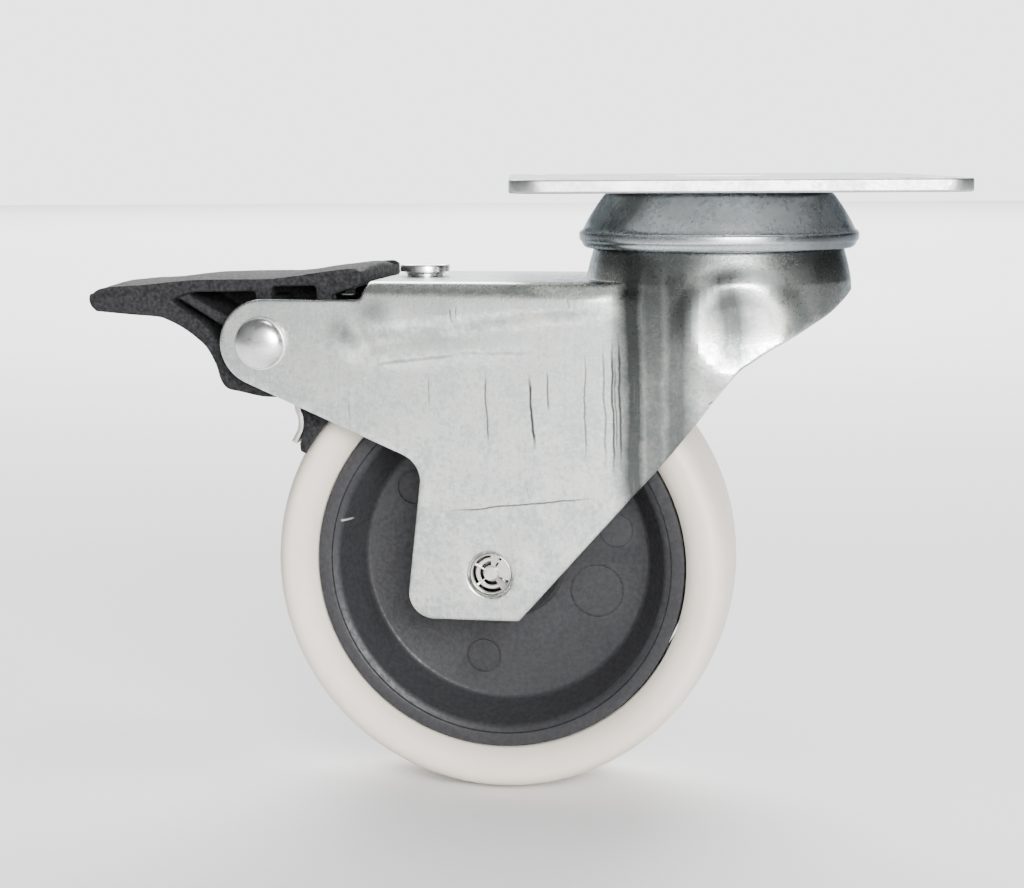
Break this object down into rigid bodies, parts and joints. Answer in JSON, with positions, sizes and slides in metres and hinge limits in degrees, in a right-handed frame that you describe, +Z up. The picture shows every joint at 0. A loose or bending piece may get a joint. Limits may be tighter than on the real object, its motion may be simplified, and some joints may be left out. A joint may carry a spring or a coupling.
{
  "type": "swivel castor with brake",
  "caption": "Swivel castor: a grey tread wheel in a pressed steel fork with a foot brake, turning on ball races under a rectangular bolt-on plate.",
  "frame": {"origin": "swivel axis at the top plate's upper face", "axes": "+Z up along the swivel axis; X and Y along the plate's sides, the wheel trailing towards -X at rest"},
  "size_m": [0.1356, 0.077, 0.1],
  "materials": {
    "plate_zinc": "satin zinc plate",
    "race_zinc": "dark zinc plate, pressed",
    "fork_zinc": "bluish zinc plate, fine grain, scuffed",
    "bright_steel": "bright",
    "spring_steel": "bare",
    "grey_rubber": "satin, warm light grey",
    "core_plastic": "dark grey, moulded",
    "pedal_plastic": "black, coarse moulded grain",
    "nylon": "natural",
    "seal_plastic": "black"
  },
  "bodies": {
    "plate": {"top_plate": "plate_zinc", "race_shell": "race_zinc", "dust_seal": "seal_plastic", "kingpin": "bright_steel", "lower_race": "race_zinc", "lock_ring": "spring_steel", "kingpin_washer": "fork_zinc"},
    "fork": {"fork": "fork_zinc", "axle_sleeve": "fork_zinc", "axle_rivet": "bright_steel", "pedal_rivet": "bright_steel", "lever_rivet": "bright_steel", "upper_ball_cage": "nylon", "lower_ball_cage": "nylon", "upper_ball_01": "bright_steel", "upper_ball_02": "bright_steel", "upper_ball_03": "bright_steel", "upper_ball_04": "bright_steel", "upper_ball_05": "bright_steel", "upper_ball_06": "bright_steel", "upper_ball_07": "bright_steel", "upper_ball_08": "bright_steel", "upper_ball_09": "bright_steel", "upper_ball_10": "bright_steel", "upper_ball_11": "bright_steel", "upper_ball_12": "bright_steel", "lower_ball_01": "bright_steel", "lower_ball_02": "bright_steel", "lower_ball_03": "bright_steel", "lower_ball_04": "bright_steel", "lower_ball_05": "bright_steel", "lower_ball_06": "bright_steel", "lower_ball_07": "bright_steel", "lower_ball_08": "bright_steel", "lower_ball_09": "bright_steel", "lower_ball_10": "bright_steel"},
    "wheel": {"tyre": "grey_rubber", "wheel_core": "core_plastic", "near_hub_bush": "nylon", "far_hub_bush": "nylon"},
    "pedal": {"pedal": "pedal_plastic"},
    "lever": {"brake_lever": "spring_steel", "brake_shoe": "pedal_plastic"}
  },
  "joints": [
    {"name": "swivel", "type": "hinge", "parent": "plate", "child": "fork", "pos_m": [0, 0, 0], "axis": [0, 0, 1], "continuous": true},
    {"name": "wheel_spin", "type": "hinge", "parent": "fork", "child": "wheel", "pos_m": [-0.03378, 0.00596, -0.0625], "axis": [0.1736, 0.9848, 0], "continuous": true},
    {"name": "pedal_press", "type": "hinge", "parent": "fork", "child": "pedal", "pos_m": [-0.07012, 0.01236, -0.0261], "axis": [-0.1736, -0.9848, 0], "range_deg": [0, 12]},
    {"name": "brake_engage", "type": "hinge", "parent": "fork", "child": "lever", "pos_m": [-0.04737, 0.00835, -0.0199], "axis": [-0.1736, -0.9848, 0], "range_deg": [0, 1.1]}
  ],
  "couplings": [
    {"joint": "brake_engage", "follows": "pedal_press", "ratio": 0.0916}
  ]
}
